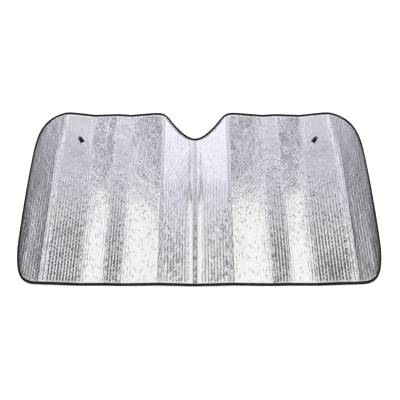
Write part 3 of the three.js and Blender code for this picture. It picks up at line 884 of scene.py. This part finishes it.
def build_cup(name, side, cx, cy):
    rim, under, over = -CUP_DEPTH, -SHEET_T / 2 - CUP_CLEAR, SHEET_T / 2 + CUP_CLEAR
    prof = [(0, rim + 3.6), (3, rim + 3.5), (6, rim + 3.3), (9, rim + 2.8), (11.5, rim + 2.1), (13.6, rim + 1.1), (15.0, rim + 0.3),
            (15.7, rim + 0.02), (16.6, rim), (17.3, rim + 0.05), (17.5, rim + 0.35), (17.2, rim + 0.75), (15.6, rim + 2.0),
            (13.6, rim + 3.1), (11.2, rim + 4.1), (9.0, rim + 4.7), (7.6, rim + 5.05), (7.0, under + 0.02 - 0.25), (6.4, under),
            (2.6, under), (2.5, under + 0.3), (2.5, over + 1.5), (0, over + 1.5)]
    verts, faces = lathe(prof, 48)
    # lug on top: layers of its outline, crowned, with a sunk pocket in the tail
    height = 5.0
    layers = [(0.55, over), (0.12, over + 0.35), (0, over + 1.0), (0, over + 3.0), (0.25, over + 3.9), (0.8, over + 4.55), (1.7, over + 4.9)]
    base = len(verts)
    n = len(lug_outline(0))
    for grow, z in layers:
        for px, py in lug_outline(grow):
            drop = 1.5 * float(smooth(4.0, -13.0, px)) * (z - over) / height
            verts.append((px, py, z - drop))
    for g in range(len(layers) - 1):
        for k in range(n):
            l = (k + 1) % n
            faces.append((base + g * n + k, base + g * n + l, base + (g + 1) * n + l, base + (g + 1) * n + k))
    faces.append(tuple(base + k for k in range(n))[::-1])
    # top: nose crown and pocket
    top = base + (len(layers) - 1) * n
    ring0 = [top + k for k in range(n)]
    p0 = np.array(lug_outline(1.7))
    inner = []
    for px, py in p0:
        z = over + 4.9 - 1.5 * float(smooth(4.0, -13.0, px)) * 0.98
        inner.append((px, py, z))
    # shrink towards a spine along the lug
    rings = [ring0]
    for f, dz in ((0.72, 0.16), (0.45, 0.28), (0.2, 0.33)):
        r = []
        for px, py, z in inner:
            sx = np.clip(px, -9.5, 9.0)
            qx, qy = sx + (px - sx) * f, py * f
            pocket = 2.9 * float(1 - smooth(0.6, 1.0, math.hypot((qx + 7.8) / 4.6, qy / 3.9)))
            r.append(len(verts))
            verts.append((qx, qy, z + dz - pocket))
        rings.append(r)
    for g in range(len(rings) - 1):
        for k in range(n):
            l = (k + 1) % n
            faces.append((rings[g][k], rings[g][l], rings[g + 1][l], rings[g + 1][k]))
    # close along the spine
    last = rings[-1]
    order = sorted(range(n), key=lambda k: p0[k][0])
    faces.append(tuple(last))
    m = cup_frame(side, cx, cy)
    world = [m @ Vector(v) for v in verts]
    ob = new_mesh(name, [tuple(v) for v in world], faces)
    # painted highlight: 1 on the upper part of the nose and 0 elsewhere, lightening the rubber colour there
    wear_and_painted_highlight = ob.data.attributes.new("wear_and_painted_highlight", "FLOAT", "POINT")
    wear_and_painted_highlight.data.foreach_set("value", [float(smooth(1.0, 6.0, v[0])) * float(v[2] > over + 2) for v in verts])
    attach(ob, "root")
    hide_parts("suction_cup_left" if side < 0 else "suction_cup_right")
    ob.data.materials.append(RUBBER)
    return ob


cups = [build_cup("cup_left" if c[0] < 0 else "cup_right", *c) for c in CUPS]

# ------------------------------------------------------------------ floor, light, camera
floor_me = bpy.data.meshes.new("floor")
floor_me.from_pydata([(-6, -6, -0.0004), (6, -6, -0.0004), (6, 6, -0.0004), (-6, 6, -0.0004)], [], [(0, 1, 2, 3)])
floor = bpy.data.objects.new("floor", floor_me)
bpy.context.scene.collection.objects.link(floor)
fm, fnt, fb = material("pale_floor")
fb.inputs["Base Color"].default_value = (0.9, 0.9, 0.9, 1)
fb.inputs["Roughness"].default_value = 0.9
fb.inputs["Specular IOR Level"].default_value = 0.0
floor_me.materials.append(fm)

world = bpy.data.worlds.new("studio")
bpy.context.scene.world = world
world.use_nodes = True
wn = world.node_tree
bg = wn.nodes["Background"]
tc = node(wn, "ShaderNodeTexCoord")
sep = node(wn, "ShaderNodeSeparateXYZ")
wn.links.new(tc.outputs["Generated"], sep.inputs[0])
f = Maths(wn)
RX, RY = f("ABSOLUTE", sep.outputs["X"]), sep.outputs["Y"]
COOL, MILD, PLAIN, WARM = (0.985, 0.99, 1.07), (0.99, 0.99, 1.045), (0.995, 0.995, 1.01), (1.0, 1.0, 0.97)
NEAR = [(0.0, 0.20, PLAIN), (0.04, 0.10, PLAIN), (0.08, 0.06, PLAIN), (0.13, 0.08, PLAIN), (0.16, 0.23, PLAIN),
        (0.19, 0.62, PLAIN), (0.25, 0.80, PLAIN), (0.28, 0.80, PLAIN), (0.32, 0.94, WARM), (0.37, 1.04, WARM),
        (0.47, 1.04, WARM), (0.52, 0.72, WARM), (0.57, 0.47, COOL), (0.66, 0.28, COOL), (0.78, 0.12, COOL),
        (1.0, 0.06, COOL)]
MIDDLE = [(0.0, 0.57, MILD), (0.045, 0.70, MILD), (0.09, 0.59, MILD), (0.14, 0.76, COOL), (0.19, 0.90, COOL), (0.22, 1.04, COOL), (0.255, 1.07, COOL),
          (0.282, 0.46, COOL), (0.30, 0.19, COOL), (0.335, 0.20, COOL), (0.365, 0.60, COOL), (0.44, 0.88, COOL),
          (0.50, 0.60, COOL), (0.58, 0.44, COOL), (0.66, 0.32, COOL), (0.76, 0.24, COOL), (1.0, 0.18, COOL)]


def sky_ramp(stops):
    """Brightness of the room by how far to the side one looks."""
    n = node(wn, "ShaderNodeValToRGB")
    els = n.color_ramp.elements
    els[0].position, els[1].position = stops[0][0], stops[-1][0]
    for p, _, _ in stops[1:-1]:
        els.new(p)
    for e, (p, v, c) in zip(els, stops):
        e.color = (v * c[0], v * c[1], v * c[2], 1)
    wn.links.new(RX, n.inputs["Fac"])
    return n.outputs["Color"]


def blend(factor, a, b):
    n = node(wn, "ShaderNodeMix", data_type="RGBA")
    wn.links.new(factor, n.inputs["Factor"])
    wn.links.new(a, n.inputs["A"])
    if isinstance(b, tuple):
        n.inputs["B"].default_value = b
    else:
        wn.links.new(b, n.inputs["B"])
    return n.outputs["Result"]


edge = f.step(0.349, 0.369, RY)                  # edge of the two side softboxes
slow = f.step(0.20, 0.42, RY)
apart = f.step(0.29, 0.33, RX)
rise = f("ADD", f("MULTIPLY", edge, apart), f("MULTIPLY", slow, f("SUBTRACT", 1.0, apart)))
lift = f("ADD", 0.93, f("MULTIPLY", f("SUBTRACT", RY, 0.36), 0.9))
middle = node(wn, "ShaderNodeVectorMath", operation="SCALE")
wn.links.new(sky_ramp(MIDDLE), middle.inputs[0])
wn.links.new(lift, middle.inputs["Scale"])
room = blend(rise, sky_ramp(NEAR), middle.outputs[0])
room = blend(f("MULTIPLY", f.step(0.60, 0.68, RY), 0.85), room, (1.0, 1.0, 1.06, 1))
room = blend(f("MULTIPLY", f.step(-0.04, 0.04, f("MULTIPLY", RY, -1.0)), 0.65), room, (0.95, 0.95, 0.97, 1))
wn.links.new(room, bg.inputs["Color"])
bg.inputs["Strength"].default_value = 1.0


def softbox(name, centre, size, radiance, colour, glossy=True):
    """A rectangular light of even brightness that faces straight down."""
    light = bpy.data.lights.new(name, "AREA")
    light.shape = "RECTANGLE"
    light.size, light.size_y = size
    light.energy = radiance * math.pi * size[0] * size[1]
    light.color = colour
    ob = bpy.data.objects.new(name, light)
    ob.location = centre
    bpy.context.scene.collection.objects.link(ob)
    ob.visible_glossy = glossy
    return ob


softbox("fill", (-0.015, -0.45, 1.62), (2.4, 2.4), 3.0, (1, 1, 1), glossy=False)

cam_data = bpy.data.cameras.new("camera")
cam = bpy.data.objects.new("camera", cam_data)
bpy.context.scene.collection.objects.link(cam)
cam_data.lens = 36.0 * 389 / 400
cam_data.sensor_width = 36.0
cam_data.shift_x = 0.0125
eye = Vector((-14.75, -514.55 - 25.25, 1349.21)) / 1000
look = Vector((-14.75, -25.25, 0)) / 1000
cam.location = eye
cam.rotation_euler = (look - eye).to_track_quat("-Z", "Y").to_euler()
cam_data.clip_end = 50
bpy.context.scene.camera = cam

sc = bpy.context.scene
sc.view_settings.view_transform = "Standard"
sc.view_settings.look = "None"
sc.view_settings.exposure = 0.0
sc.view_settings.gamma = 1.0
